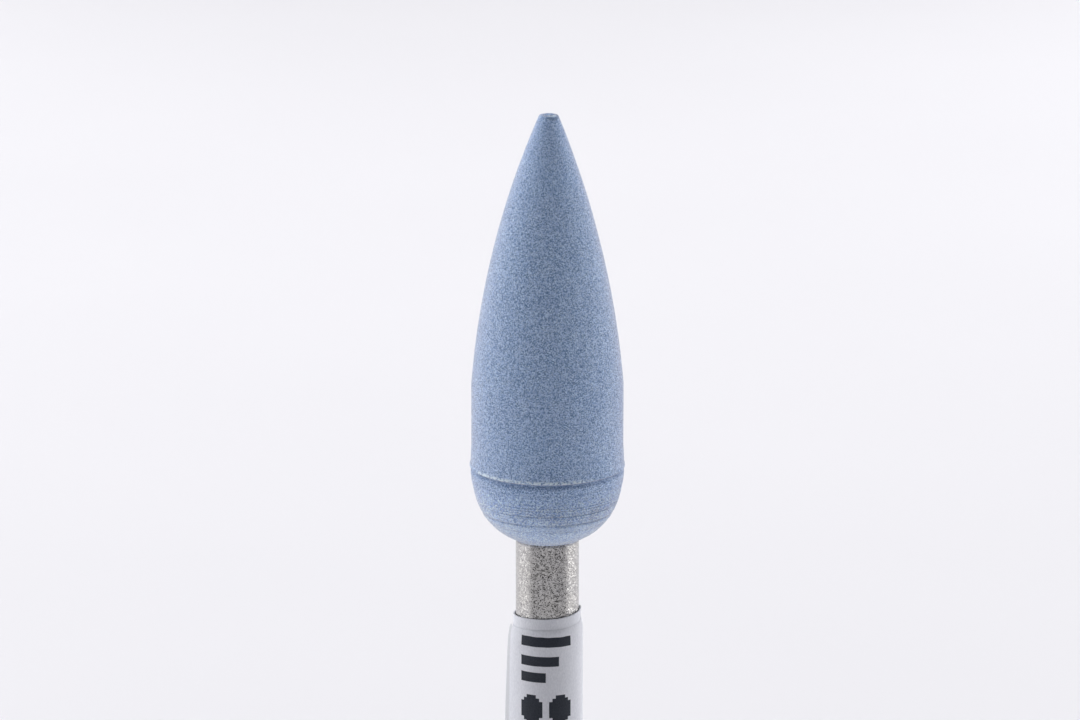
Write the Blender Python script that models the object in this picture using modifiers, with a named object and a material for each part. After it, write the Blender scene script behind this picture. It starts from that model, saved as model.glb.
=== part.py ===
"""A silicone polishing point on a steel handpiece mandrel, with a film label wound round its shank.

The working head is a bullet of abrasive-filled silicone, moulded in a two-part mould and bonded over
the grooved and knurled end of a 2.35 mm mandrel. The label is a strip of thin film, wound about one
and a half turns round the shank. It slides off over the tail before the shank goes into a collet.

The frame is in metres with +Z along the mandrel's axis, towards the tip. The origin is the centre of
the flat face at the mandrel's tail.
"""

import math

import bmesh
import bpy
from mathutils import Matrix, Vector

MM = 0.001

# Driving dimensions
OVERALL_LENGTH = 44.5 * MM
SHANK_RADIUS = 1.175 * MM
HEAD_RADIUS = 2.77 * MM
HEAD_LENGTH = 16.0 * MM

# Polishing head. Its seam is the line where the two halves of the mould met.
DOME_HEIGHT = 2.8 * MM
DOME_RADIUS = 2.8 * MM
DOME_DEPTH = 3.0 * MM
DOME_EXPONENT = 2.34
MOUTH_RADIUS = 1.36 * MM
BARREL_HEIGHT = 3.09 * MM
OGIVE_ARC_RADIUS = 35.6 * MM
TIP_RADIUS = 0.32 * MM
TIP_EDGE = 0.05 * MM
TIP_DIMPLE = 0.04 * MM
FLARE = 0.02 * MM
FLARE_HEIGHT = 0.7 * MM
FLASH = 0.084 * MM
FLASH_HEIGHT = 0.12 * MM

# Mandrel. Its upper end is the anchor, which the head is bonded over.
ANCHOR_LENGTH = 10.0 * MM
TAIL_CHAMFER = 0.3 * MM
NOSE_CHAMFER = 0.35 * MM
GROOVE_COUNT = 4
GROOVE_PITCH = 2.0 * MM
GROOVE_WIDTH = 0.8 * MM
GROOVE_DEPTH = 0.25 * MM
KNURL_COUNT = 20
KNURL_DEPTH = 0.09 * MM
KNURL_BAR_RADIUS = 0.18 * MM
KNURL_FOOT = 1.5 * MM

# Adhesive between the anchor and the head's blind bore
BOND_THICKNESS = 0.06 * MM
BOND_GAP = 0.012 * MM

# Wound film label. Its strip is wound from +X towards -Y and drops a little with each turn.
LABEL_WIDTH = 16.0 * MM
LABEL_STRIP_LENGTH = 12.3 * MM
LABEL_THICKNESS = 0.08 * MM
LABEL_TURN_GAP = 0.012 * MM
LABEL_SHANK_GAP = 0.02 * MM
LABEL_DROP_PER_TURN = 0.42 * MM
LABEL_BELOW_HEAD = 2.77 * MM
LABEL_START = math.radians(-12)
FLAP_LIFT = 0.1 * MM
FLAP_ANGLE = math.radians(40)
LABEL_ROWS = 4

TURNED_STEPS = 48
OGIVE_STEPS = 14
DOME_STEPS = 10
MERGE_DISTANCE = 1e-6
SHARP_ANGLE = math.radians(25)

# Sizes that follow from the ones above
HEAD_BOTTOM = OVERALL_LENGTH - HEAD_LENGTH
SEAM = HEAD_BOTTOM + DOME_HEIGHT
SHOULDER = SEAM + BARREL_HEIGHT
ANCHOR_TOP = HEAD_BOTTOM + ANCHOR_LENGTH
BORE_RADIUS = SHANK_RADIUS + BOND_THICKNESS + 2 * BOND_GAP
BORE_END = ANCHOR_TOP + BOND_THICKNESS + 2 * BOND_GAP
FULL_TURN = 2 * math.pi
LABEL_MEAN_RADIUS = SHANK_RADIUS + LABEL_SHANK_GAP + LABEL_THICKNESS + LABEL_TURN_GAP
LABEL_ANGLE = LABEL_STRIP_LENGTH / LABEL_MEAN_RADIUS

# name: (base colour, roughness, metallic)
FINISHES = {
    "silicone_blue": ((0.29, 0.38, 0.55, 1.0), 0.8, 0.0),
    "satin_steel": ((0.55, 0.54, 0.53, 1.0), 0.35, 1.0),
    "cured_adhesive": ((0.32, 0.25, 0.12, 1.0), 0.4, 0.0),
    "white_film": ((0.72, 0.73, 0.77, 1.0), 0.45, 0.0),
}


def clear_scene():
    for obj in list(bpy.data.objects):
        bpy.data.objects.remove(obj, do_unlink=True)


def make_collection(name):
    collection = bpy.data.collections.new(name)
    bpy.context.scene.collection.children.link(collection)
    return collection


def make_material(name):
    colour, roughness, metallic = FINISHES[name]
    material = bpy.data.materials.new(name)
    material.use_nodes = True
    shader = material.node_tree.nodes["Principled BSDF"]
    shader.inputs["Base Color"].default_value = colour
    shader.inputs["Roughness"].default_value = roughness
    shader.inputs["Metallic"].default_value = metallic
    material.diffuse_color = colour
    return material


def add_object(name, mesh, collection):
    obj = bpy.data.objects.new(name, mesh)
    collection.objects.link(obj)
    return obj


def turned(name, profile, collection):
    """A solid turned about Z from (radius, height) points, which run down its outer side."""
    points = [(radius, 0, height) for radius, height in profile]
    edges = [(i, i + 1) for i in range(len(points) - 1)]
    mesh = bpy.data.meshes.new(name)
    mesh.from_pydata(points, edges, [])
    obj = add_object(name, mesh, collection)
    screw = obj.modifiers.new("turn about the axis", "SCREW")
    screw.axis = "Z"
    screw.steps = TURNED_STEPS
    screw.render_steps = TURNED_STEPS
    screw.use_merge_vertices = True
    screw.merge_threshold = MERGE_DISTANCE
    return obj


def finish_round(obj, material):
    """Apply the modifiers, then shade smooth but for the real corners."""
    graph = bpy.context.evaluated_depsgraph_get()
    mesh = bpy.data.meshes.new_from_object(obj.evaluated_get(graph))
    obj.modifiers.clear()
    obj.data = mesh
    mesh.shade_smooth()
    mesh.set_sharp_from_angle(angle=SHARP_ANGLE)
    mesh.materials.clear()
    mesh.materials.append(material)


def ogive_points():
    """The bullet's side from the tip's edge down to the shoulder, on one circular arc."""
    top = Vector((TIP_RADIUS, OVERALL_LENGTH - TIP_EDGE))
    bottom = Vector((HEAD_RADIUS, SHOULDER))
    chord = bottom - top
    inwards = Vector((chord.y, -chord.x)).normalized()
    to_centre = math.sqrt(OGIVE_ARC_RADIUS**2 - (chord.length / 2) ** 2)
    centre = (top + bottom) / 2 + inwards * to_centre
    start = math.atan2(top.y - centre.y, top.x - centre.x)
    end = math.atan2(bottom.y - centre.y, bottom.x - centre.x)
    points = []
    for i in range(OGIVE_STEPS + 1):
        angle = start + (end - start) * i / OGIVE_STEPS
        offset = Vector((math.cos(angle), math.sin(angle))) * OGIVE_ARC_RADIUS
        points.append(tuple(centre + offset))
    return points


def dome_points():
    """The dome from just under the seam to the rim of the bore's mouth, on a superellipse."""
    power = 2 / DOME_EXPONENT
    start = math.asin((FLASH_HEIGHT / DOME_DEPTH) ** (1 / power))
    end = math.acos((MOUTH_RADIUS / DOME_RADIUS) ** (1 / power))
    points = []
    for i in range(DOME_STEPS + 1):
        angle = start + (end - start) * i / DOME_STEPS
        radius = DOME_RADIUS * math.cos(angle) ** power
        depth = DOME_DEPTH * math.sin(angle) ** power
        points.append((radius, SEAM - depth))
    return points


def head_profile():
    """The head's outside from its dimpled tip to its mouth, then its blind bore."""
    tip = [(0, OVERALL_LENGTH - TIP_DIMPLE), (TIP_RADIUS - TIP_EDGE, OVERALL_LENGTH)]
    barrel = [
        (HEAD_RADIUS, SEAM + FLARE_HEIGHT),
        (HEAD_RADIUS + FLARE, SEAM + FLASH_HEIGHT),
        (HEAD_RADIUS + FLASH, SEAM),
    ]
    bore = [(BORE_RADIUS, HEAD_BOTTOM), (BORE_RADIUS, BORE_END), (0, BORE_END)]
    return tip + ogive_points() + barrel + dome_points() + bore


def anchor_points(clearance):
    """The anchor's nose and ring grooves from the top down, moved outwards by a clearance."""
    radius = SHANK_RADIUS + clearance
    top = ANCHOR_TOP + clearance
    points = [(radius - NOSE_CHAMFER, top), (radius, top - NOSE_CHAMFER)]
    for i in range(GROOVE_COUNT):
        middle = ANCHOR_TOP - GROOVE_PITCH * (i + 0.8)
        half = GROOVE_WIDTH / 2
        points.append((radius, middle + half))
        points.append((radius - GROOVE_DEPTH, middle + half - GROOVE_DEPTH))
        points.append((radius - GROOVE_DEPTH, middle - half + GROOVE_DEPTH))
        points.append((radius, middle - half))
    return points


def mandrel_profile():
    tail = [(SHANK_RADIUS, TAIL_CHAMFER), (SHANK_RADIUS - TAIL_CHAMFER, 0), (0, 0)]
    return [(0, ANCHOR_TOP)] + anchor_points(0) + [(SHANK_RADIUS, HEAD_BOTTOM)] + tail


def bond_profile():
    """A cup that lines the head's bore, with ribs that fill the anchor's ring grooves."""
    outer_radius = BORE_RADIUS - BOND_GAP
    outer_top = BORE_END - BOND_GAP
    outer = [(0, outer_top), (outer_radius, outer_top), (outer_radius, HEAD_BOTTOM)]
    foot = [(SHANK_RADIUS + BOND_GAP, HEAD_BOTTOM)]
    inner = anchor_points(BOND_GAP)
    inner.reverse()
    return outer + foot + inner + [(0, ANCHOR_TOP + BOND_GAP)]


def knurl_cutter(collection):
    """Square bars round the anchor, each with one corner in the steel, which cut a straight knurl."""
    reach = SHANK_RADIUS - KNURL_DEPTH + KNURL_BAR_RADIUS
    bottom = HEAD_BOTTOM + KNURL_FOOT
    bm = bmesh.new()
    for i in range(KNURL_COUNT):
        outwards = Matrix.Rotation(FULL_TURN * i / KNURL_COUNT, 4, "Z")
        place = Matrix.Translation((reach, 0, bottom + ANCHOR_LENGTH / 2))
        bmesh.ops.create_cone(
            bm,
            cap_ends=True,
            segments=4,
            radius1=KNURL_BAR_RADIUS,
            radius2=KNURL_BAR_RADIUS,
            depth=ANCHOR_LENGTH,
            matrix=outwards @ place,
        )
    mesh = bpy.data.meshes.new("knurl_cutter")
    bm.to_mesh(mesh)
    bm.free()
    cutter = add_object("knurl_cutter", mesh, collection)
    cutter.hide_render = True
    cutter.display_type = "WIRE"
    return cutter


def label_point(around, down):
    """The middle of the film, around radians from its inner end and down its width, from 0 to 1."""
    turns = around / FULL_TURN
    into_flap = max(0, around - LABEL_ANGLE + FLAP_ANGLE) / FLAP_ANGLE
    radius = SHANK_RADIUS + LABEL_SHANK_GAP + LABEL_THICKNESS / 2
    radius += (LABEL_THICKNESS + LABEL_TURN_GAP) * turns + FLAP_LIFT * into_flap**2
    azimuth = LABEL_START + around
    height = HEAD_BOTTOM - LABEL_BELOW_HEAD - LABEL_DROP_PER_TURN * turns - LABEL_WIDTH * down
    return (radius * math.cos(azimuth), -radius * math.sin(azimuth), height)


def make_label(collection):
    """The film strip as an open spiral sheet, given its thickness by Solidify."""
    columns = math.ceil(TURNED_STEPS * LABEL_ANGLE / FULL_TURN)
    points = []
    for i in range(columns + 1):
        for j in range(LABEL_ROWS + 1):
            points.append(label_point(LABEL_ANGLE * i / columns, j / LABEL_ROWS))
    faces = []
    for i in range(columns):
        for j in range(LABEL_ROWS):
            corner = i * (LABEL_ROWS + 1) + j
            across = corner + LABEL_ROWS + 1
            faces.append((corner, corner + 1, across + 1, across))
    mesh = bpy.data.meshes.new("wound_label")
    mesh.from_pydata(points, [], faces)
    label = add_object("wound_label", mesh, collection)
    film = label.modifiers.new("film thickness", "SOLIDIFY")
    film.thickness = LABEL_THICKNESS
    film.offset = 0
    return label


def main():
    clear_scene()
    parts = make_collection("silicone_polishing_point")
    cutters = make_collection("cutters")
    head = turned("polishing_head", head_profile(), parts)
    bond = turned("adhesive_bond", bond_profile(), parts)
    mandrel = turned("mandrel", mandrel_profile(), parts)
    knurl = mandrel.modifiers.new("straight knurl", "BOOLEAN")
    knurl.operation = "DIFFERENCE"
    knurl.object = knurl_cutter(cutters)
    label = make_label(parts)
    finish_round(head, make_material("silicone_blue"))
    finish_round(bond, make_material("cured_adhesive"))
    finish_round(mandrel, make_material("satin_steel"))
    finish_round(label, make_material("white_film"))


main()
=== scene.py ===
"""The looks of a silicone polishing point with a labelled steel shank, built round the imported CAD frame.

Lengths below are in millimetres unless a name says otherwise, and MM turns them into metres. Heights on
the head are measured from its seam. Azimuths on the label run from +X towards -Y, as its strip is wound.
"""

import math

import bpy
import numpy as np
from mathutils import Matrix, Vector, noise


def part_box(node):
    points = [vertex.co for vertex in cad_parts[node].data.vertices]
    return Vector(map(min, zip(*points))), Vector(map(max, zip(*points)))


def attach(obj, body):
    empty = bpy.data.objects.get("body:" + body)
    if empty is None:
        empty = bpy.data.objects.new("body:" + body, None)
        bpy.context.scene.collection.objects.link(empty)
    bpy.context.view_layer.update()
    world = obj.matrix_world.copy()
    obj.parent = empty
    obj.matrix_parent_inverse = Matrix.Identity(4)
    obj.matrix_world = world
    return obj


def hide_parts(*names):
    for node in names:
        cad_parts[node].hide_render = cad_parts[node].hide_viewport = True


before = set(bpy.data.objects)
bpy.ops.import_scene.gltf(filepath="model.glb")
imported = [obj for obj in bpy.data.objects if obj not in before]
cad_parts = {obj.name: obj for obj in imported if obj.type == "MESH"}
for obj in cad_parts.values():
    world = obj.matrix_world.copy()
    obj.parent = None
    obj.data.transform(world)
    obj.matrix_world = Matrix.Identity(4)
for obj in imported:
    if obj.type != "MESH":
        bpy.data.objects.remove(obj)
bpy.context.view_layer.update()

MM = 0.001
FULL_TURN = 2 * math.pi

HEAD_LOW, HEAD_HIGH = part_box("polishing_head")
SHANK_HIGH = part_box("mandrel")[1]
BOND_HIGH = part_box("adhesive_bond")[1]
LABEL_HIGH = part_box("wound_label")[1]

# Head
SEAM_ABOVE_MOUTH = 2.8
SEAM = HEAD_LOW.z / MM + SEAM_ABOVE_MOUTH
SEAM_RADIUS = 2.85
HEAD_TOP = HEAD_HIGH.z / MM - SEAM
# The flash of the CAD head is a smooth ring, and the torn one reaches a little past it.
FLASH_RADIUS = HEAD_HIGH.x / MM + 0.04
FLASH_HALF_WIDTH = 0.045
BARREL_RADIUS = 2.81
SHOULDER = 3.09
OGIVE_RADIUS = 33.3
TIP_RADIUS = 0.365
TIP_ROUNDING = 0.09
TIP_DIMPLE = 0.05
TIP_LEAN = 0.045
LEAN_START = 6.2
DOME_RADIUS = 2.81
DOME_DEPTH = 2.98
DOME_EXPONENT = 2.38
DOME_START = -0.9
RINGS_END = -2.1
MOUTH_GAP = 0.015
BORE_GAP = 0.012
BORE_STEP = 0.008
HEAD_COLUMNS = 288
# The middle of the half of the seam where the flash is highest and has white flecks, as an azimuth from
# the front towards +X.
TORN_MIDDLE = math.radians(-57)
# The outline round the seam: the upper mould half flares out to the flash, then the lower half starts
# with a small groove and a rim before it runs into the dome.
SEAM_OUTLINE = (
    (0.75, BARREL_RADIUS),
    (0.60, 2.822),
    (0.42, 2.83),
    (0.16, 2.84),
    (0.05, 2.847),
    (0.0, SEAM_RADIUS),
    (-0.03, 2.82),
    (-0.05, 2.775),
    (-0.08, 2.755),
    (-0.13, 2.755),
    (-0.17, 2.79),
    (-0.21, 2.832),
    (-0.26, 2.84),
    (-0.40, 2.832),
    (-0.56, 2.812),
    (-0.64, 2.798),
    (-0.74, 2.776),
    (DOME_START, 2.742),
)
# Rings turned into the dome: height, half width, and depth of each, or minus the height of a ridge.
DOME_RINGS = (
    (-0.47, 0.030, 0.012),
    (-0.70, 0.022, 0.008),
    (-0.86, 0.022, 0.010),
    (-0.98, 0.026, 0.015),
    (-1.10, 0.024, 0.018),
    (-1.21, 0.024, 0.017),
    (-1.33, 0.030, 0.021),
    (-1.44, 0.022, 0.011),
    (-1.56, 0.022, 0.012),
    (-1.72, 0.036, 0.029),
    (-1.87, 0.040, -0.016),
    (-2.05, 0.028, 0.012),
)
FINE_RING_PITCH = 0.085
FINE_RING_DEPTH = 0.005

# Mandrel
SHANK_RADIUS = SHANK_HIGH.x / MM
MANDREL_TOP = SHANK_HIGH.z / MM
HEAD_BOTTOM = HEAD_LOW.z / MM
TAIL_CHAMFER = 0.3
NOSE_CHAMFER = 0.35
GROOVE_COUNT = 4
GROOVE_PITCH = 2.0
GROOVE_WIDTH = 0.8
GROOVE_DEPTH = 0.25
KNURL_COUNT = 20
KNURL_DEPTH = 0.09
KNURL_FOOT = 1.5
SHANK_COLUMNS = 200

# Label
# The film's edge waves a little below this height, and ends 0.034 mm above the CAD's.
LABEL_TOP = LABEL_HIGH.z / MM + 0.04
LABEL_WIDTH = 16.0
STRIP_LENGTH = 12.3
FILM = 0.05
TURN_GAP = 0.042
SHANK_GAP = 0.008
DROP_PER_TURN = 0.42
LABEL_START = math.radians(-12)
MEAN_RADIUS = SHANK_RADIUS + SHANK_GAP + FILM + TURN_GAP
LABEL_ANGLE = STRIP_LENGTH / MEAN_RADIUS
FLAP_ANGLE = math.radians(42)
FLAP_LIFT_TOP = 0.06
FLAP_LIFT_BELOW = 0.22
FLAP_LIFT_REACH = 3.5
EDGE_PRESS_REACH = 0.6
PRESSED_GAP = 0.006
INNER_END_LIFT = 0.022
EDGE_DROP = 0.012
# Bulges in the outer turn: height, azimuth from the inner end, its reach, depth below the edge, its reach
BULGES = (
    (0.022, math.radians(379), 0.12, 0.35, 0.25),
    (0.010, math.radians(367), 0.14, 1.0, 0.5),
)
LABEL_COLUMNS = 230

# Printed marks, in printer's dots: first row, first column, rows and columns of each block
DOT = 0.125
INK = 0.004
MARKS_BELOW_EDGE = 0.2
MARKS_LEFT = math.radians(135)
MARKS = (
    (0, 0, 3, 16),
    (6, 0, 3, 12),
    (11, 0, 3, 8),
    (18, 0, 9, 7),
    (18, 9, 9, 7),
    (33, 0, 3, 16),
    (39, 0, 3, 12),
    (44, 0, 3, 8),
    (51, 0, 9, 7),
    (51, 9, 9, 7),
    (66, 0, 2, 16),
    (70, 0, 2, 16),
    (74, 0, 2, 16),
)

# Studio
FLOOR_RADIUS = 0.285
TARGET = Vector((-0.273, 0, SEAM + 3.964)) * MM
CAMERA_DISTANCE = 210 * MM
CAMERA_ELEVATION = math.radians(14.63)
LENS = 190.0
SENSOR = 36.0
# Panels that stand on the floor: name, azimuth, distance, width, height (metres), radiance, and the half
# angle that the grid in front of it lets out. The grids keep the floor near the side panels even.
STANDING_PANELS = (
    ("left_front_panel", -76, 0.30, 0.155, 0.22, 2.03, 62),
    ("left_panel", -100, 0.30, 0.155, 0.22, 2.26, 62),
    ("left_back_panel", -125, 0.30, 0.155, 0.22, 2.26, 62),
    ("back_left_panel", -150, 0.30, 0.155, 0.22, 1.90, 90),
    ("back_panel", 180, 0.30, 0.155, 0.22, 0.50, 90),
    ("back_right_panel", 150, 0.30, 0.155, 0.22, 2.75, 90),
    ("right_back_panel", 120, 0.30, 0.155, 0.22, 3.30, 62),
    ("right_panel", 90, 0.30, 0.155, 0.22, 3.30, 62),
    ("low_left_card", -106, 0.065, 0.125, 0.018, 0.28, 75),
    ("low_right_card", 106, 0.065, 0.125, 0.018, 0.24, 75),
)
# Softboxes above: name, azimuth, elevation, distance, width (metres) and radiance.
HIGH_SOFTBOXES = (
    ("high_left_softbox", -120, 45, 0.45, 0.35, 1.57),
    ("high_front_softbox", 0, 45, 0.45, 0.35, 0.15),
    ("top_softbox", 180, 85, 0.50, 0.45, 1.85),
)
# A square reflector lying in front of the tool: distance, width (metres) and radiance.
FRONT_REFLECTOR = (0.14, 0.20, 0.20)


# ---------------------------------------------------------------------------------------------------
# Meshes


def smoothstep(low, high, value):
    t = np.clip((np.asarray(value, float) - low) / (high - low), 0, 1)
    return t * t * (3 - 2 * t)


def make_object(name, points, faces):
    mesh = bpy.data.meshes.new(name)
    mesh.from_pydata([tuple(p) for p in points], [], faces)
    mesh.validate()
    mesh.shade_smooth()
    obj = bpy.data.objects.new(name, mesh)
    bpy.context.scene.collection.objects.link(obj)
    return obj


def turned_skin(name, rings, top, bottom):
    """A closed skin from rings of points (rows, columns, 3), ordered from the top down, and two poles."""
    rows, columns = rings.shape[:2]
    points = np.concatenate([rings.reshape(-1, 3), [top, bottom]]) * MM
    faces = []
    for i in range(rows - 1):
        for j in range(columns):
            k = (j + 1) % columns
            faces.append((i * columns + j, (i + 1) * columns + j, (i + 1) * columns + k, i * columns + k))
    top_index = rows * columns
    last = (rows - 1) * columns
    for j in range(columns):
        k = (j + 1) % columns
        faces.append((top_index, j, k))
        faces.append((top_index + 1, last + k, last + j))
    return make_object(name, points, faces)


def between(start, end, step):
    """Values from start to end, about a step apart, without the end."""
    count = max(1, round(abs(end - start) / step))
    return np.linspace(start, end, count, endpoint=False)


def noise_at(points, scale, seed=0):
    """Smooth noise between -1 and 1 at each point, with features of the size of scale."""
    offset = Vector((seed * 17.3, seed * 5.1, seed * 9.7))
    flat = points.reshape(-1, 3)
    values = [noise.noise(Vector(p) / scale + offset) for p in flat]
    return np.array(values).reshape(points.shape[:-1])


# ---------------------------------------------------------------------------------------------------
# Head


def tip_and_ogive():
    """The outline from the tip's flat, round its edge and down the bullet's side to the shoulder."""
    top = Vector((TIP_RADIUS, HEAD_TOP - TIP_ROUNDING / 2))
    bottom = Vector((BARREL_RADIUS, SHOULDER))
    chord = bottom - top
    inwards = Vector((chord.y, -chord.x)).normalized()
    centre = (top + bottom) / 2 + inwards * math.sqrt(OGIVE_RADIUS**2 - (chord.length / 2) ** 2)
    edge_z = HEAD_TOP - TIP_ROUNDING
    reach = OGIVE_RADIUS - TIP_ROUNDING
    edge_r = centre.x + math.sqrt(reach**2 - (edge_z - centre.y) ** 2)
    start = math.atan2(edge_z - centre.y, edge_r - centre.x)
    end = math.atan2(bottom.y - centre.y, bottom.x - centre.x)
    outline = [(r, HEAD_TOP) for r in between(0.03, edge_r, 0.03)]
    for angle in np.linspace(math.pi / 2, start, 7)[:-1]:
        outline.append((edge_r + TIP_ROUNDING * math.cos(angle), edge_z + TIP_ROUNDING * math.sin(angle)))
    for angle in between(start, end, 0.11 / OGIVE_RADIUS):
        radius = centre.x + OGIVE_RADIUS * math.cos(angle)
        outline.append((radius, centre.y + OGIVE_RADIUS * math.sin(angle)))
    return outline


def barrel_and_seam():
    heights, radii = zip(*SEAM_OUTLINE)
    outline = [(BARREL_RADIUS, z) for z in between(SHOULDER, heights[0], 0.08)]
    rows = np.concatenate(
        [
            between(heights[0], 0.09, 0.05),
            between(0.09, -0.06, 0.015),
            between(-0.06, DOME_START, 0.028),
        ]
    )
    for z in rows:
        outline.append((float(np.interp(-z, [-h for h in heights], radii)), z))
    return outline


def dome_radius(depth):
    """The radius of the dome, a superellipse, at a depth below the seam."""
    return DOME_RADIUS * (1 - (depth / DOME_DEPTH) ** DOME_EXPONENT) ** (1 / DOME_EXPONENT)


def dome_depth(radius):
    """The depth below the seam where the dome has this radius."""
    return DOME_DEPTH * (1 - (radius / DOME_RADIUS) ** DOME_EXPONENT) ** (1 / DOME_EXPONENT)


def dome_outline():
    """The dome from under the seam to the mouth, which closes in on the shank."""
    mouth = SHANK_RADIUS + MOUTH_GAP
    outline = [(dome_radius(-z), z) for z in between(DOME_START, RINGS_END, 0.02)]
    lowest = dome_radius(-RINGS_END)
    for radius in between(lowest, mouth, 0.05):
        outline.append((radius, -dome_depth(radius)))
    outline.append((mouth, -dome_depth(mouth)))
    return outline


def bore_outline():
    """Inside the mouth: a thin lip under the bond, then the blind bore round it. At their rims the dome
    crosses the lip by 0.02 mm and the bond's foot by 0.01 mm."""
    bore = BOND_HIGH.x / MM + BORE_GAP
    bottom = HEAD_BOTTOM - SEAM - BORE_STEP
    end = BOND_HIGH.z / MM + BORE_GAP - SEAM
    walls = [(bore, z) for z in between(bottom, end, 1.0)]
    return [(SHANK_RADIUS + MOUTH_GAP, bottom)] + walls + [(bore, end), (bore / 2, end)]


def head_rings():
    outside = tip_and_ogive() + barrel_and_seam() + dome_outline()
    outline = np.array(outside + bore_outline())
    azimuth = np.linspace(0, FULL_TURN, HEAD_COLUMNS, endpoint=False)
    around = np.stack([np.cos(azimuth), np.sin(azimuth), np.zeros_like(azimuth)], axis=1)
    radius = np.repeat(outline[:, :1], HEAD_COLUMNS, axis=1)
    height = np.repeat(outline[:, 1:], HEAD_COLUMNS, axis=1)
    rings = radius[..., None] * around + height[..., None] * np.array([0, 0, 1.0])
    shown = np.arange(len(outline)) < len(outside) - 1
    radius = radius + surface_relief(rings, radius, height) * shown[:, None]
    height = height + tip_relief(rings, radius, height) * shown[:, None]
    rings = radius[..., None] * around
    rings[..., 2] = height + SEAM
    rings[..., 0] += TIP_LEAN * (np.clip(height - LEAN_START, 0, None) / (HEAD_TOP - LEAN_START)) ** 2
    return rings


def surface_relief(points, radius, height):
    """How far each point stands out of the plain turned surface: moulding unevenness, flash and rings."""
    relief = 0.0035 * noise_at(points, 1.3, 1) + 0.0022 * noise_at(points, 0.3, 2)
    relief *= smoothstep(0.05, 0.5, radius)
    relief += flash_relief(points, height)
    return relief - ring_depth(points, height)


def ring_depth(points, height):
    """How deep the turned rings are at each point; the ridges between them count as negative."""
    patchy = (0.8 + 0.45 * noise_at(points, 1.6, 6)) * (1 - 0.6 * smoothstep(0.7, 1.0, torn_side(points)))
    wander = 0.012 * noise_at(points, 2.5, 7)
    total = np.zeros(height.shape)
    for ring_height, half_width, depth in DOME_RINGS:
        total += depth * np.exp(-(((height - ring_height - wander) / half_width) ** 2))
    fine = np.sin((height + wander) * FULL_TURN / FINE_RING_PITCH)
    total += FINE_RING_DEPTH * fine * smoothstep(-0.3, -0.6, height) * smoothstep(-2.3, -1.9, height)
    return total * patchy


def torn_side(points):
    """From 1 in the middle of the torn half to -1 opposite it."""
    along = points[..., 0] * math.sin(TORN_MIDDLE) - points[..., 1] * math.cos(TORN_MIDDLE)
    return along / BARREL_RADIUS


def flash_relief(points, height):
    """The fin of flash at the seam: ragged all the way round, and lower on the side away from the camera."""
    flat = points * np.array([1, 1, 0])
    torn = 0.75 + 0.4 * noise_at(flat, 0.9, 3) + 0.5 * noise_at(flat, 0.17, 4)
    kept = 0.75 + 0.25 * smoothstep(-0.2, 0.2, torn_side(points))
    lift = np.clip(torn, 0.3, 1.25) * kept * (FLASH_RADIUS - SEAM_RADIUS)
    droop = 0.012 * noise_at(flat, 0.7, 5)
    return lift * np.exp(-(((height - droop) / FLASH_HALF_WIDTH) ** 2))


def tip_relief(points, radius, height):
    """The tip's flat: a shallow dimple with a torn nib, where the moulding's gate was."""
    inside = 1 - smoothstep(0.12, 0.24, radius)
    on_top = smoothstep(HEAD_TOP - 0.06, HEAD_TOP - 0.02, height)
    nib = np.exp(-(((points[..., 0] - 0.03) / 0.05) ** 2) - ((points[..., 1] + 0.09) / 0.05) ** 2)
    rough = noise_at(points, 0.06, 8)
    return on_top * (inside * (-TIP_DIMPLE + 0.012 * rough) + 0.05 * nib + 0.008 * rough)


def make_head():
    rings = head_rings()
    top = (TIP_LEAN, 0, SEAM + HEAD_TOP - TIP_DIMPLE)
    bottom = (0, 0, rings[-1, 0, 2])
    head = turned_skin("silicone_head", rings, top, bottom)
    depth = ring_depth(rings - np.array([0, 0, SEAM]), rings[..., 2] - SEAM)
    groove = head.data.attributes.new("ring_depth", "FLOAT", "POINT")
    groove.data.foreach_set("value", np.append(depth.reshape(-1), [0, 0]).astype(np.float32))
    return head


# ---------------------------------------------------------------------------------------------------
# Mandrel


def mandrel_outline():
    """The mandrel from its nose, down the grooved anchor and the ground shank to its tail."""
    outline = [
        (SHANK_RADIUS - NOSE_CHAMFER - 0.04, MANDREL_TOP),
        (SHANK_RADIUS - NOSE_CHAMFER, MANDREL_TOP - 0.02),
        (SHANK_RADIUS, MANDREL_TOP - NOSE_CHAMFER),
    ]
    half = GROOVE_WIDTH / 2
    for i in range(GROOVE_COUNT):
        middle = MANDREL_TOP - GROOVE_PITCH * (i + 0.8)
        outline.append((SHANK_RADIUS, middle + half))
        outline.append((SHANK_RADIUS - GROOVE_DEPTH, middle + half - GROOVE_DEPTH))
        outline.append((SHANK_RADIUS - GROOVE_DEPTH, middle - half + GROOVE_DEPTH))
        outline.append((SHANK_RADIUS, middle - half))
    foot = HEAD_BOTTOM + KNURL_FOOT
    outline += [(SHANK_RADIUS, foot + 0.06), (SHANK_RADIUS, foot - 0.06)]
    outline += [(SHANK_RADIUS, z) for z in between(foot - 0.2, TAIL_CHAMFER + 0.02, 0.4)]
    outline += [
        (SHANK_RADIUS, TAIL_CHAMFER + 0.02),
        (SHANK_RADIUS - 0.015, TAIL_CHAMFER - 0.015),
        (SHANK_RADIUS - TAIL_CHAMFER + 0.015, 0.015),
        (SHANK_RADIUS - TAIL_CHAMFER - 0.02, 0),
    ]
    return outline


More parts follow.
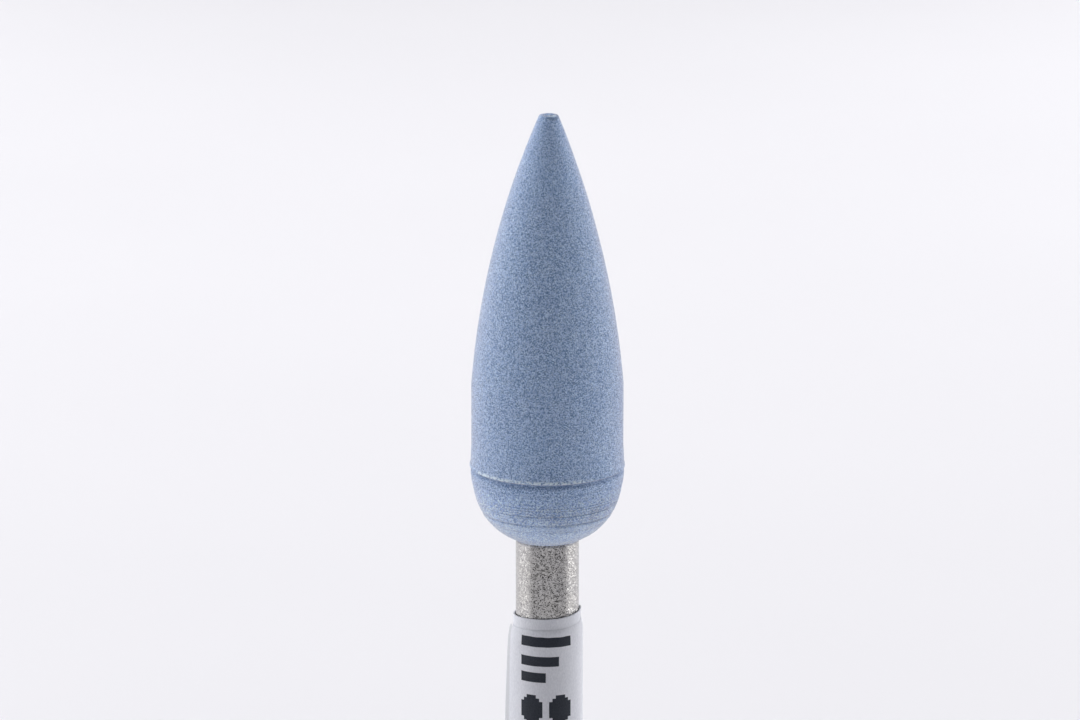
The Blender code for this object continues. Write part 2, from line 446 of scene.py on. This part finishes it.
def make_mandrel():
    outline = np.array(mandrel_outline())
    azimuth = np.linspace(0, FULL_TURN, SHANK_COLUMNS, endpoint=False)
    phase = (azimuth * KNURL_COUNT / FULL_TURN + 0.5) % 1 - 0.5
    pitch = FULL_TURN * SHANK_RADIUS / KNURL_COUNT
    groove = np.clip(KNURL_DEPTH - np.abs(phase) * pitch, 0, None)
    radius = np.repeat(outline[:, :1], SHANK_COLUMNS, axis=1)
    height = outline[:, 1]
    knurled = smoothstep(HEAD_BOTTOM + KNURL_FOOT - 0.05, HEAD_BOTTOM + KNURL_FOOT + 0.05, height)[:, None]
    radius = np.minimum(radius, SHANK_RADIUS - groove * knurled)
    rings = np.zeros((len(outline), SHANK_COLUMNS, 3))
    rings[..., 0] = radius * np.cos(azimuth)
    rings[..., 1] = radius * np.sin(azimuth)
    rings[..., 2] = height[:, None]
    skin = turned_skin("steel_mandrel", rings, (0, 0, MANDREL_TOP), (0, 0, 0))
    skin.data.set_sharp_from_angle(angle=math.radians(30))
    return skin


# ---------------------------------------------------------------------------------------------------
# Label


def film_radius(around, down, outwards):
    """The distance from the axis: around radians from the strip's inner end, down mm from its top edge,
    and outwards mm from the middle of its thickness."""
    turns = around / FULL_TURN
    radius = SHANK_RADIUS + SHANK_GAP + FILM / 2 + (FILM + TURN_GAP) * turns + outwards
    second = smoothstep(0.93, 1.0, turns)
    pressed = 1 - smoothstep(0, EDGE_PRESS_REACH, down)
    radius = radius - (TURN_GAP - PRESSED_GAP) * np.minimum(turns * 0.8, 1) * pressed
    lift = FLAP_LIFT_TOP + FLAP_LIFT_BELOW * (1 - np.exp(-np.clip(down, 0, None) / FLAP_LIFT_REACH))
    into_flap = np.clip(around - LABEL_ANGLE + FLAP_ANGLE, 0, None) / FLAP_ANGLE
    radius = radius + lift * into_flap**2.2
    first = 1 - smoothstep(0, math.radians(70), around)
    radius = radius + INNER_END_LIFT * first * np.exp(-down / 0.5)
    edge_thinned = 1 - smoothstep(0, 0.12, down)
    radius = radius - np.clip(outwards, 0, FILM / 2) * 1.6 * second * edge_thinned
    for bulge, middle, width, depth, reach in BULGES:
        radius = radius + bulge * np.exp(-(((around - middle) / width) ** 2) - ((down - depth) / reach) ** 2)
    return radius


def film_points(around, down, outwards):
    """Points on the film, for the same arguments as film_radius."""
    turns = around / FULL_TURN
    second = smoothstep(0.93, 1.0, turns)
    radius = film_radius(around, down, outwards)
    azimuth = LABEL_START + around
    wave = 0.010 * np.sin(3 * around + 0.6) + 0.008 * np.sin(17 * around) * second
    edge = wave * np.exp(-down / 0.6)
    height = LABEL_TOP - DROP_PER_TURN * turns - down + edge - EDGE_DROP
    return np.stack([radius * np.cos(azimuth), -radius * np.sin(azimuth), height], axis=-1)


def make_label():
    """The wound film as one closed sheet: outer face, inner face, and the four cut edges."""
    around = np.linspace(0, LABEL_ANGLE, LABEL_COLUMNS)
    down = np.concatenate([between(0, 0.8, 0.06), np.linspace(0.8, LABEL_WIDTH, 58)])
    grid_around, grid_down = np.meshgrid(around, down, indexing="ij")
    outer = film_points(grid_around, grid_down, FILM / 2)
    inner = film_points(grid_around, grid_down, -FILM / 2)
    columns, rows = grid_around.shape
    points = np.concatenate([outer.reshape(-1, 3), inner.reshape(-1, 3)]) * MM
    inner_start = columns * rows

    def at(i, j):
        return i * rows + j

    faces = []
    for i in range(columns - 1):
        for j in range(rows - 1):
            quad = (at(i, j), at(i + 1, j), at(i + 1, j + 1), at(i, j + 1))
            faces.append(quad[::-1])
            faces.append(tuple(inner_start + k for k in quad))
    top = [at(i, 0) for i in range(columns)]
    end = [at(columns - 1, j) for j in range(1, rows)]
    bottom = [at(i, rows - 1) for i in range(columns - 2, -1, -1)]
    start = [at(0, j) for j in range(rows - 2, 0, -1)]
    loop = top + end + bottom + start
    for a, b in zip(loop, loop[1:] + loop[:1]):
        faces.append((a, b, inner_start + b, inner_start + a))
    label = make_object("film_label", points, faces)
    to_end = np.tile(((LABEL_ANGLE - grid_around) * MEAN_RADIUS).reshape(-1), 2)
    distance = label.data.attributes.new("to_outer_end", "FLOAT", "POINT")
    distance.data.foreach_set("value", to_end.astype(np.float32))
    label.data.set_sharp_from_angle(angle=math.radians(40))
    return label


def mark_cells():
    """The dots of every mark, with the corners of the taller blocks cut off."""
    cells = set()
    for first_row, first_column, rows, columns in MARKS:
        for i in range(rows):
            for j in range(columns):
                from_corner = min(i, rows - 1 - i) + min(j, columns - 1 - j)
                if rows < 5 or from_corner > 1:
                    cells.add((first_row + i, first_column + j))
    return cells


def make_print():
    """The ink as closed slabs on the film, one cell for each dot."""
    cells = mark_cells()
    outer_radius = SHANK_RADIUS + SHANK_GAP + FILM + (FILM + TURN_GAP) * 1.25
    dot_angle = DOT / outer_radius
    left = MARKS_LEFT + FULL_TURN - LABEL_START
    index = {}
    points = []
    faces = []

    def corner(row, column, level):
        key = (row, column, level)
        if key not in index:
            index[key] = len(points)
            around = left - column * dot_angle
            drop_back = DROP_PER_TURN * (around - left) / FULL_TURN
            down = MARKS_BELOW_EDGE + row * DOT - drop_back
            outwards = FILM / 2 + (INK if level else -INK / 2)
            points.append(film_points(np.array(around), np.array(down), outwards) * MM)
        return index[key]

    for row, column in sorted(cells):
        ring = ((row, column), (row, column + 1), (row + 1, column + 1), (row + 1, column))
        faces.append(tuple(corner(r, c, 1) for r, c in reversed(ring)))
        faces.append(tuple(corner(r, c, 0) for r, c in ring))
        sides = (
            ((row - 1, column), ring[0], ring[1]),
            ((row, column + 1), ring[1], ring[2]),
            ((row + 1, column), ring[2], ring[3]),
            ((row, column - 1), ring[3], ring[0]),
        )
        for neighbour, a, b in sides:
            if neighbour not in cells:
                faces.append((corner(*a, 1), corner(*b, 1), corner(*b, 0), corner(*a, 0)))
    ink = make_object("printed_marks", points, faces)
    ink.data.set_sharp_from_angle(angle=math.radians(40))
    return ink


# ---------------------------------------------------------------------------------------------------
# Materials


class Surface:
    """A material being built: its node tree, its Principled shader, and the object's coordinates."""

    def __init__(self, name, **sockets):
        self.material = bpy.data.materials.new(name)
        self.material.use_nodes = True
        self.tree = self.material.node_tree
        self.shader = self.tree.nodes["Principled BSDF"]
        for socket, value in sockets.items():
            self.shader.inputs[socket.replace("_", " ")].default_value = value
        coordinates = self.add("ShaderNodeTexCoord")
        self.place = coordinates.outputs["Object"]
        self.facing = coordinates.outputs["Normal"]

    def add(self, kind, inputs=None, **settings):
        node = self.tree.nodes.new(kind)
        for setting, value in settings.items():
            setattr(node, setting, value)
        for socket, value in (inputs or {}).items():
            if isinstance(value, bpy.types.NodeSocket):
                self.tree.links.new(value, node.inputs[socket])
            else:
                node.inputs[socket].default_value = value
        return node

    def noise(self, size, detail=2.0, roughness=0.5, stretch=(1, 1, 1)):
        """Noise between 0 and 1 whose features are size millimetres across."""
        vector = self.place
        if stretch != (1, 1, 1):
            mapping = self.add("ShaderNodeMapping", {"Vector": self.place, "Scale": stretch})
            vector = mapping.outputs["Vector"]
        scale = 1 / (size * MM)
        inputs = {"Vector": vector, "Scale": scale, "Detail": detail, "Roughness": roughness}
        return self.add("ShaderNodeTexNoise", inputs).outputs["Fac"]

    def cells(self, size):
        """A random value between 0 and 1 for each cell of about size millimetres."""
        inputs = {"Vector": self.place, "Scale": 1 / (size * MM)}
        colour = self.add("ShaderNodeTexVoronoi", inputs).outputs["Color"]
        return self.add("ShaderNodeSeparateColor", {"Color": colour}).outputs["Red"]

    def facets(self, size, around, upwards, stretch=(1, 1, 1)):
        """A normal for each small facet, tilted at random by up to these slopes."""
        vector = self.add("ShaderNodeMapping", {"Vector": self.place, "Scale": stretch}).outputs["Vector"]
        inputs = {"Vector": vector, "Scale": 1 / (size * MM)}
        colour = self.add("ShaderNodeTexVoronoi", inputs).outputs["Color"]
        slopes = (2 * around, 2 * around, 2 * upwards)
        centred = self.vector("SUBTRACT", colour, (0.5, 0.5, 0.5))
        tilted = self.vector("MULTIPLY_ADD", centred, slopes, self.facing)
        settings = {"vector_type": "NORMAL", "convert_from": "OBJECT"}
        turned = self.add("ShaderNodeVectorTransform", {"Vector": tilted}, **settings)
        return self.vector("NORMALIZE", turned.outputs["Vector"])

    def vector(self, operation, first, second=(0, 0, 0), third=(0, 0, 0)):
        inputs = {0: first, 1: second, 2: third}
        return self.add("ShaderNodeVectorMath", inputs, operation=operation).outputs["Vector"]

    def math(self, operation, first, second=0.0, clamp=False):
        inputs = {0: first, 1: second}
        return self.add("ShaderNodeMath", inputs, operation=operation, use_clamp=clamp).outputs["Value"]

    def ramp(self, value, *stops):
        """Colours or greys placed along a value."""
        node = self.add("ShaderNodeValToRGB", {"Fac": value})
        elements = node.color_ramp.elements
        for i, (position, colour) in enumerate(stops):
            element = elements[i] if i < 2 else elements.new(position)
            element.position = position
            element.color = colour if len(colour) == 4 else (*colour, 1)
        return node.outputs["Color"]

    def mix(self, factor, first, second, blend="MIX"):
        node = self.add("ShaderNodeMix", data_type="RGBA", blend_type=blend)
        self.connect(factor, node.inputs["Factor"])
        self.connect(first, node.inputs[6])
        self.connect(second, node.inputs[7])
        return node.outputs[2]

    def spread(self, value, low, high, to_low=0.0, to_high=1.0):
        """Value mapped from low..high to to_low..to_high, and held between them."""
        inputs = {"Value": value, "From Min": low, "From Max": high, "To Min": to_low, "To Max": to_high}
        return self.add("ShaderNodeMapRange", inputs).outputs["Result"]

    def axis(self, letter):
        """The coordinate along one axis, in millimetres."""
        split = self.add("ShaderNodeSeparateXYZ", {"Vector": self.place})
        return self.math("DIVIDE", split.outputs[letter], MM)

    def bump(self, height, depth, strength=1.0, normal=None):
        inputs = {"Height": height, "Distance": depth * MM, "Strength": strength}
        if normal is not None:
            inputs["Normal"] = normal
        return self.add("ShaderNodeBump", inputs).outputs["Normal"]

    def connect(self, value, socket):
        if isinstance(value, bpy.types.NodeSocket):
            self.tree.links.new(value, socket)
        elif isinstance(value, tuple) and len(value) == 3:
            socket.default_value = (*value, 1)
        else:
            socket.default_value = value

    def set(self, **sockets):
        for socket, value in sockets.items():
            self.connect(value, self.shader.inputs[socket.replace("_", " ")])
        return self.material


def abrasive_grain(s):
    """Abrasive grains as cells, with some finer dust."""
    grit = s.cells(0.026)
    dust = s.noise(0.02, 1.0, 0.5)
    return s.math("ADD", s.math("MULTIPLY", grit, 0.8), s.math("MULTIPLY", dust, 0.2))


def body_colour(s, height, grain):
    """The two tones of the grain under faint mottling. The dome, down to its mouth, is lighter in colour:
    painted light from the floor below it. The contrast of the grain grows low on the dome and fades towards
    the tip."""
    on_dome = s.spread(height, -0.9, -2.2, 0.97, 1.6)
    near_tip = s.spread(height, 8.0, 13.0, 1.0, 0.65)
    contrast = s.math("MULTIPLY", on_dome, near_tip)
    tone = s.math("ADD", s.math("MULTIPLY", s.math("SUBTRACT", grain, 0.5), contrast), 0.5)
    body = s.ramp(tone, (0.2, (0.108, 0.193, 0.385)), (0.5, (0.334, 0.478, 0.77)), (0.8, (0.63, 0.78, 0.98)))
    tint = s.ramp(s.noise(1.1, 3.0, 0.55), (0.3, (0.47, 0.5, 0.54)), (0.7, (0.53, 0.5, 0.47)))
    body = s.mix(0.25, body, tint, "OVERLAY")
    # Painted light: from under the seam down to the mouth the colour is lightened, and lower down mixed
    # towards a pale blue, for the light the floor throws up onto the dome.
    painted_light_on_dome = s.mix(s.spread(height, -0.3, -1.2), (1.0, 1.0, 1.0), (1.31, 1.28, 1.32))
    body = s.vector("MINIMUM", s.vector("MULTIPLY", body, painted_light_on_dome), (0.80, 0.90, 0.99))
    return s.mix(s.spread(height, -1.2, -2.4, 0.0, 0.30), body, (0.60, 0.78, 0.99))


def towards_flecks(s):
    """How far a place lies towards the middle of the flecked half, in millimetres from the axis."""
    side = s.math("MULTIPLY", s.axis("X"), math.sin(TORN_MIDDLE))
    return s.math("SUBTRACT", side, s.math("MULTIPLY", s.axis("Y"), math.cos(TORN_MIDDLE)))


def turned_lines(s, height, side):
    """The fine lines that turning left on the dome, and how strongly they show at each place."""
    inputs = {"W": s.math("DIVIDE", height, 0.055), "Detail": 1.0}
    lines = s.add("ShaderNodeTexNoise", inputs, noise_dimensions="1D").outputs["Fac"]
    shown = s.math("MULTIPLY", s.spread(height, -0.35, -0.9), s.spread(height, -2.15, -1.9))
    shown = s.math("MULTIPLY", shown, s.spread(side, 2.6, 0.8, 0.15, 1.0))
    shown = s.math("MULTIPLY", shown, s.spread(s.noise(0.5, 2.0), 0.35, 0.6, 0.3, 1.0))
    return lines, shown


def with_rings(s, body, lines, shown):
    """The colour with painted shade in the turned lines and rings, and a painted highlight on the ridges
    between the rings.
    """
    # Painted shade: the colour is darker in the fine turned lines.
    painted_line_shade = s.math("MULTIPLY", s.spread(lines, 0.5, 0.3), s.math("MULTIPLY", shown, 0.55))
    body = s.mix(painted_line_shade, body, (0.10, 0.15, 0.26))
    depth = s.add("ShaderNodeAttribute", attribute_name="ring_depth").outputs["Fac"]
    # Painted shade: the colour is darker in the rings, by their depth.
    body = s.mix(s.spread(depth, 0.002, 0.022, 0.0, 0.58), body, (0.10, 0.17, 0.34))
    # Painted highlight: a pale blue on the ridges between the rings.
    return s.mix(s.spread(depth, -0.001, -0.010, 0.0, 0.45), body, (0.60, 0.76, 0.99))


def with_seam(s, body, height, side):
    """The colour with painted shade in the groove below the seam, and white flecks along the flash."""
    crest = s.math("MULTIPLY", s.spread(height, 0.12, 0.04), s.spread(height, -0.04, -0.02))
    undercut_shade = s.math("MULTIPLY", s.spread(height, -0.02, -0.05), s.spread(height, -0.19, -0.12))
    flecks = s.spread(s.noise(0.09, 2.0), 0.46, 0.49)
    flecked = s.math("MULTIPLY", s.spread(side, -0.3, 0.2), s.spread(s.axis("X"), -2.66, -2.5))
    white = s.math("MULTIPLY", crest, s.math("MULTIPLY", flecks, flecked))
    # Painted shade: the groove just below the seam's flash is darkened in colour.
    body = s.mix(s.math("MULTIPLY", undercut_shade, 0.28), body, (0.08, 0.13, 0.25))
    return s.mix(white, body, (0.75, 0.87, 0.99))


def with_tip_patch(s, body):
    """The colour with a pale patch on the tip's flat, off its middle, inside a darker ring."""
    # The pale patch and the darker ring round it are centred on this point of the tip's flat.
    gate = s.vector("SUBTRACT", s.place, Vector((TIP_LEAN + 0.10, -0.14, SEAM + HEAD_TOP)) * MM)
    distance = s.add("ShaderNodeVectorMath", {0: gate}, operation="LENGTH").outputs["Value"]
    from_patch_middle = s.math("DIVIDE", distance, MM)
    patch_rim = s.math("MULTIPLY", s.spread(from_patch_middle, 0.17, 0.21), s.spread(from_patch_middle, 0.31, 0.25))
    body = s.mix(s.math("MULTIPLY", patch_rim, 0.45), body, (0.08, 0.14, 0.26))
    return s.mix(s.spread(from_patch_middle, 0.19, 0.12, 0.0, 0.6), body, (0.62, 0.80, 0.90))


def silicone_material():
    """Abrasive-filled silicone: matte, with a faint sheen and a sharp grain in colour and bump."""
    s = Surface("abrasive_silicone_skin", Specular_IOR_Level=0.1, Sheen_Weight=0.32, Sheen_Roughness=0.5)
    s.shader.inputs["Sheen Tint"].default_value = (1.0, 0.56, 0.1, 1)
    height = s.math("SUBTRACT", s.axis("Z"), SEAM)
    side = towards_flecks(s)
    grain = abrasive_grain(s)
    lines, shown = turned_lines(s, height, side)
    colour = body_colour(s, height, grain)
    colour = with_rings(s, colour, lines, shown)
    colour = with_seam(s, colour, height, side)
    colour = with_tip_patch(s, colour)
    rough = s.spread(grain, 0.3, 0.8, 0.62, 0.8)
    normal = s.bump(s.math("MULTIPLY", lines, shown), 0.03, 0.6)
    normal = s.bump(grain, 0.015, 0.5, normal)
    return s.set(Base_Color=colour, Roughness=rough, Normal=normal)


def steel_material():
    """Satin stainless steel with a fine sparkle: polished grains among matt ones."""
    s = Surface("satin_steel_skin", Metallic=1.0)
    grit = s.cells(0.035)
    stain = s.noise(0.9, 3.0, 0.6)
    dull, plain, bright = (0.365, 0.357, 0.352), (0.44, 0.431, 0.425), (0.60, 0.589, 0.582)
    colour = s.ramp(grit, (0.0, dull), (0.75, plain), (1.0, bright))
    warm = s.ramp(stain, (0.35, (0.5, 0.49, 0.47)), (0.7, (0.5, 0.5, 0.51)))
    colour = s.mix(0.4, colour, warm, "OVERLAY")
    # Painted shadow and painted reflection: a thin dark blue band on the steel just below the dome's mouth,
    # for the dome's shadow and its dark underside mirrored in the steel.
    painted_shadow_under_dome = s.spread(s.axis("Z"), HEAD_BOTTOM - 0.137, HEAD_BOTTOM - 0.115, 0.0, 0.4)
    colour = s.mix(painted_shadow_under_dome, colour, (0.05, 0.075, 0.13))
    rough = s.spread(grit, 0.0, 1.0, 0.14, 0.34)
    normal = s.facets(0.038, 0.06, 0.28, (1, 1, 1.3))
    return s.set(Base_Color=colour, Roughness=rough, Normal=normal)


def film_material():
    """White label film: a faint fibre in the coating, a soft unevenness from the glue behind it, and a
    greyer strip along its outer end."""
    s = Surface("label_film_skin", Specular_IOR_Level=0.1)
    fibre = s.noise(0.05, 3.0, 0.6, (1, 1, 0.5))
    glue = s.noise(0.7, 2.0, 0.5)
    colour = s.ramp(fibre, (0.3, (0.685, 0.697, 0.755)), (0.7, (0.805, 0.815, 0.87)))
    tint = s.ramp(glue, (0.35, (0.45, 0.45, 0.46)), (0.65, (0.55, 0.55, 0.54)))
    colour = s.mix(0.15, colour, tint, "OVERLAY")
    to_end = s.add("ShaderNodeAttribute", attribute_name="to_outer_end").outputs["Fac"]
    colour = s.mix(s.math("MULTIPLY", s.spread(to_end, 0.34, 0.22), 0.55), colour, (0.50, 0.51, 0.53))
    rough = s.spread(glue, 0.3, 0.7, 0.5, 0.62)
    normal = s.bump(fibre, 0.003, 0.4, s.bump(glue, 0.01, 0.5))
    return s.set(Base_Color=colour, Roughness=rough, Normal=normal)


def ink_material():
    """Thermal ribbon ink: near black, a little blue, and faintly patchy in colour, roughness and bump."""
    s = Surface("ribbon_ink", Specular_IOR_Level=0.25)
    patchy = s.noise(0.05, 2.0, 0.6)
    colour = s.ramp(patchy, (0.3, (0.015, 0.019, 0.029)), (0.75, (0.034, 0.041, 0.057)))
    rough = s.spread(patchy, 0.3, 0.7, 0.42, 0.6)
    return s.set(Base_Color=colour, Roughness=rough, Normal=s.bump(patchy, 0.003, 0.4))


def adhesive_material():
    """Cured amber adhesive with small bubbles."""
    s = Surface("amber_adhesive", Coat_Weight=0.4)
    bubbles = s.noise(0.12, 2.0)
    colour = s.ramp(bubbles, (0.35, (0.22, 0.16, 0.07)), (0.7, (0.42, 0.33, 0.17)))
    rough = s.spread(bubbles, 0.3, 0.7, 0.3, 0.5)
    return s.set(Base_Color=colour, Roughness=rough, Normal=s.bump(bubbles, 0.01, 0.5))


def floor_material():
    s = Surface("pale_floor", Specular_IOR_Level=0.1)
    mottle = s.noise(40.0, 2.0)
    colour = s.ramp(mottle, (0.3, (0.805, 0.797, 0.836)), (0.7, (0.815, 0.807, 0.846)))
    rough = s.spread(mottle, 0.3, 0.7, 0.88, 0.94)
    return s.set(Base_Color=colour, Roughness=rough)


def paint(obj, material):
    obj.data.materials.clear()
    obj.data.materials.append(material)


# ---------------------------------------------------------------------------------------------------
# Studio


def make_floor():
    """A round floor that ends inside the ring of panels, on which the tool stands on its tail."""
    ring = [(math.cos(FULL_TURN * i / 96), math.sin(FULL_TURN * i / 96)) for i in range(96)]
    points = [(x * FLOOR_RADIUS, y * FLOOR_RADIUS, -0.01 * MM) for x, y in ring]
    floor = make_object("floor", points, [tuple(range(96))])
    paint(floor, floor_material())


def add_light(name, outwards, centre, width, height, radiance, half_angle=90):
    """A soft rectangular light that faces the tool and that the camera doesn't see. The renderer keeps a
    light's power when its spread narrows, so the power is lowered to keep the radiance straight ahead."""
    half_angle = math.radians(half_angle)
    light = bpy.data.lights.new(name, "AREA")
    light.shape = "RECTANGLE"
    light.size = width
    light.size_y = height
    light.spread = 2 * half_angle
    light.energy = math.pi * width * height * radiance * (1 - half_angle / math.tan(half_angle))
    obj = bpy.data.objects.new(name, light)
    obj.location = centre
    obj.rotation_euler = outwards.to_track_quat("Z", "Y").to_euler()
    obj.visible_camera = False
    bpy.context.scene.collection.objects.link(obj)


def direction(azimuth, elevation):
    """Azimuth 0 is the camera's side and 90 is +X, in degrees."""
    a, e = math.radians(azimuth), math.radians(elevation)
    return Vector((math.sin(a) * math.cos(e), -math.cos(a) * math.cos(e), math.sin(e)))


def make_lights():
    for name, azimuth, distance, width, height, radiance, half_angle in STANDING_PANELS:
        outwards = direction(azimuth, 0)
        centre = outwards * distance + Vector((0, 0, height / 2))
        add_light(name, outwards, centre, width, height, radiance, half_angle)
    for name, azimuth, elevation, distance, width, radiance in HIGH_SOFTBOXES:
        outwards = direction(azimuth, elevation)
        add_light(name, outwards, TARGET + outwards * distance, width, width, radiance)
    distance, width, radiance = FRONT_REFLECTOR
    add_light("front_reflector", Vector((0, 0, -1)), Vector((0, -distance, MM)), width, width, radiance)


def make_world():
    """Even pale surroundings, which light the tool weakly but look as pale as the floor."""
    world = bpy.data.worlds.new("studio")
    world.use_nodes = True
    tree = world.node_tree
    tree.nodes.clear()
    output = tree.nodes.new("ShaderNodeOutputWorld")
    seen = tree.nodes.new("ShaderNodeBackground")
    seen.inputs["Color"].default_value = (0.905, 0.897, 0.939, 1)
    lighting = tree.nodes.new("ShaderNodeBackground")
    lighting.inputs["Color"].default_value = (1, 1, 1, 1)
    lighting.inputs["Strength"].default_value = 0.03
    path = tree.nodes.new("ShaderNodeLightPath")
    mix = tree.nodes.new("ShaderNodeMixShader")
    tree.links.new(path.outputs["Is Camera Ray"], mix.inputs["Fac"])
    tree.links.new(lighting.outputs["Background"], mix.inputs[1])
    tree.links.new(seen.outputs["Background"], mix.inputs[2])
    tree.links.new(mix.outputs["Shader"], output.inputs["Surface"])
    bpy.context.scene.world = world


def make_camera():
    camera = bpy.data.cameras.new("camera")
    camera.lens = LENS
    camera.sensor_width = SENSOR
    camera.clip_start = 0.01
    camera.clip_end = 10
    obj = bpy.data.objects.new("camera", camera)
    back = Vector((0, -math.cos(CAMERA_ELEVATION), math.sin(CAMERA_ELEVATION)))
    obj.location = TARGET + back * CAMERA_DISTANCE
    obj.rotation_euler = (math.pi / 2 - CAMERA_ELEVATION, 0, 0)
    bpy.context.scene.collection.objects.link(obj)
    bpy.context.scene.camera = obj
    bpy.context.scene.view_settings.view_transform = "Standard"


# ---------------------------------------------------------------------------------------------------
# The scene

make_camera()
make_world()
make_lights()
make_floor()

head = make_head()
paint(head, silicone_material())
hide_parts("polishing_head")
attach(head, "tool")

mandrel = make_mandrel()
paint(mandrel, steel_material())
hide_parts("mandrel")
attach(mandrel, "tool")

paint(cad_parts["adhesive_bond"], adhesive_material())

label = make_label()
paint(label, film_material())
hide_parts("wound_label")
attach(label, "label")

marks = make_print()
paint(marks, ink_material())
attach(marks, "label")
